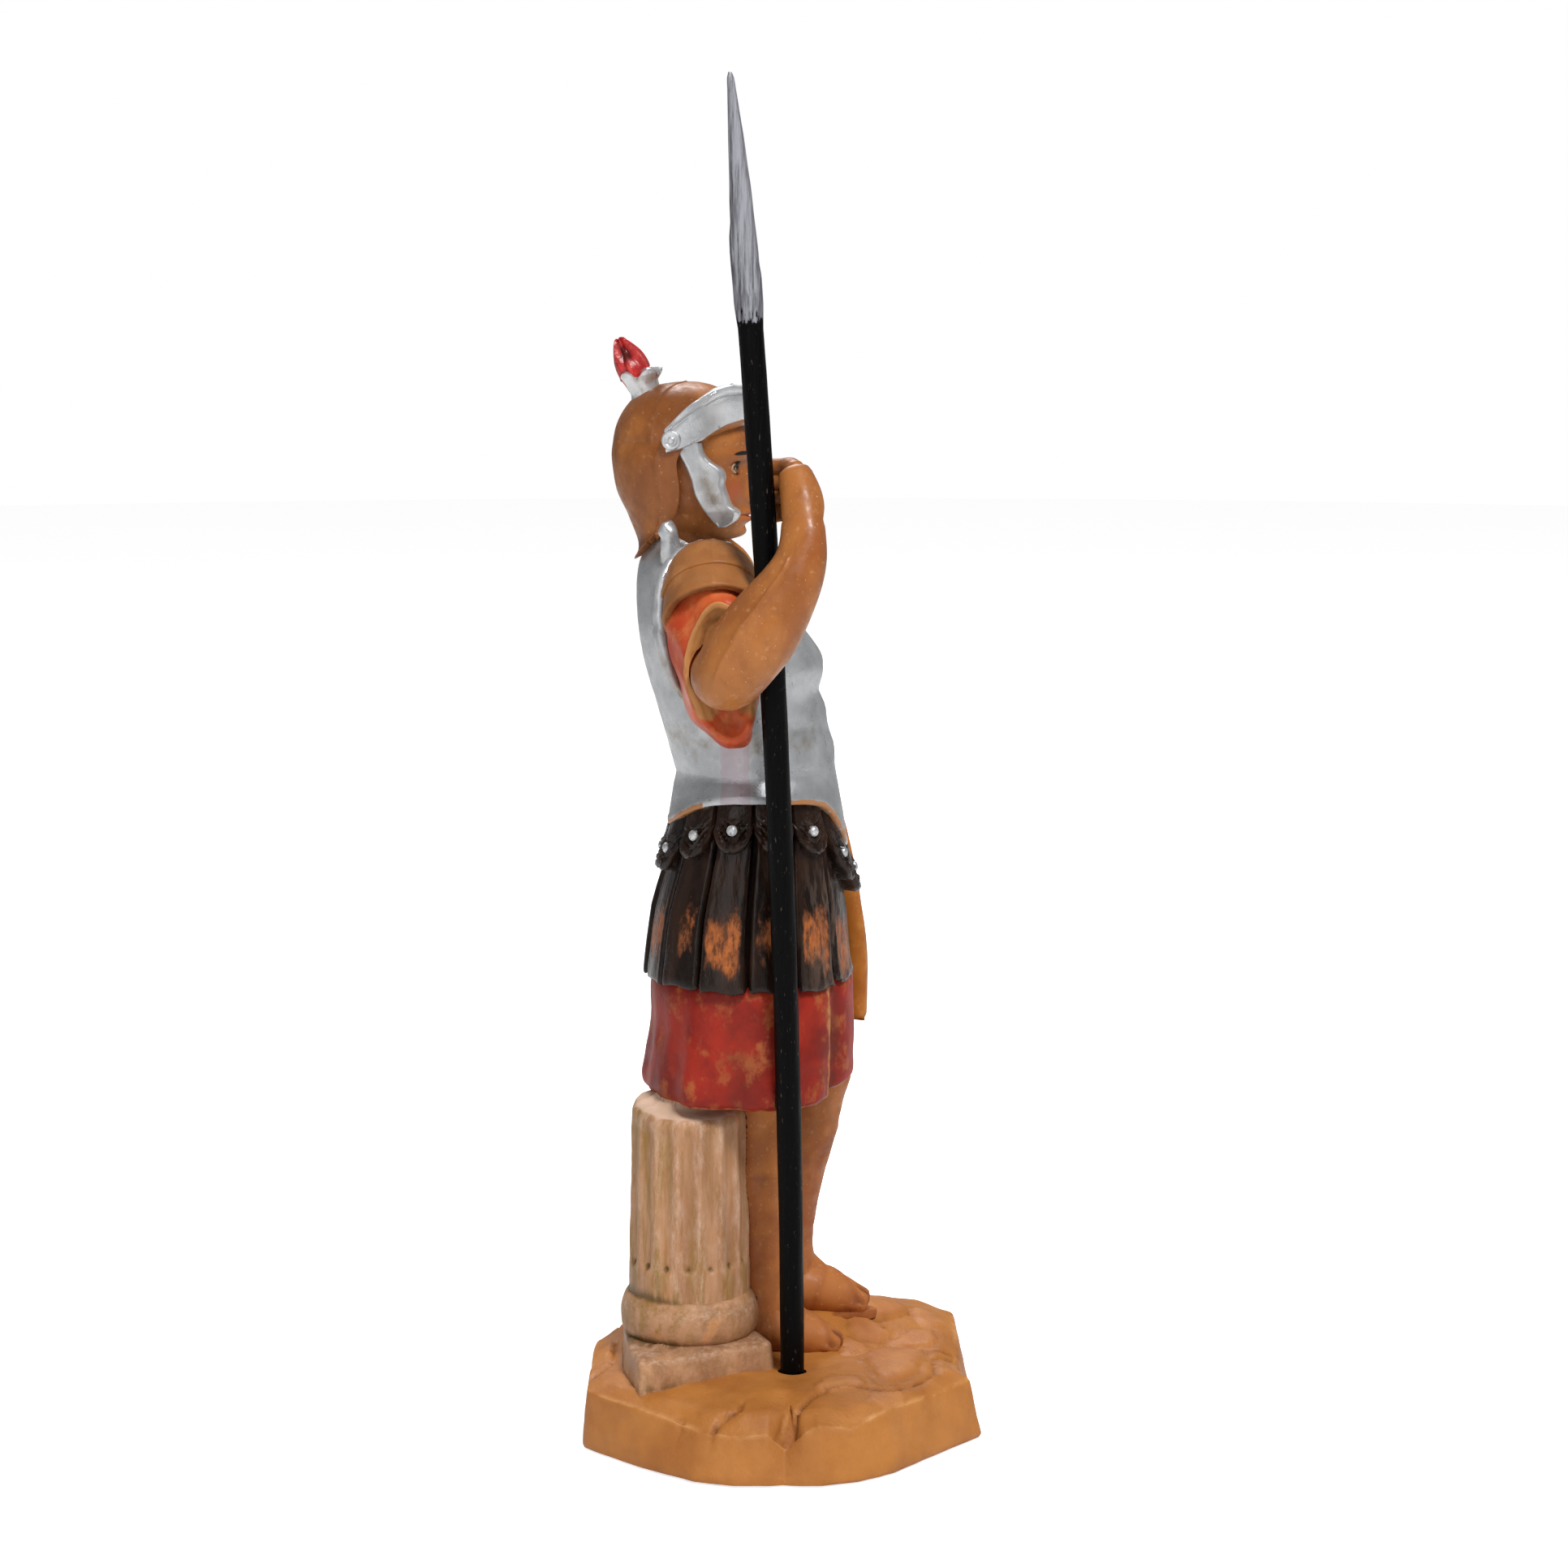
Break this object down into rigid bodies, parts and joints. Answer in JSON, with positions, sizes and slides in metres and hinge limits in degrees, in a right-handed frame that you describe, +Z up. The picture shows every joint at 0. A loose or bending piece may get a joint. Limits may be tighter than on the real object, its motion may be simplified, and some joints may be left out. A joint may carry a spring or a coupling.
{
  "type": "soldier statue",
  "caption": "Small painted statue of a helmeted soldier in armour and cloak, leaning on a broken column with a spear in the right hand, on a rock base.",
  "frame": {"origin": "middle of the rock base's underside, on the table", "axes": "+Z up; the soldier looks along -Y and his left side is +X"},
  "size_m": [0.05, 0.048, 0.16],
  "materials": {
    "soldier": "painted, satin",
    "right_forearm": "painted, satin",
    "spear": "painted black, silver at the tip"
  },
  "bodies": {
    "root": {"soldier": "soldier", "right_forearm": "right_forearm", "spear": "spear"}
  },
  "joints": []
}
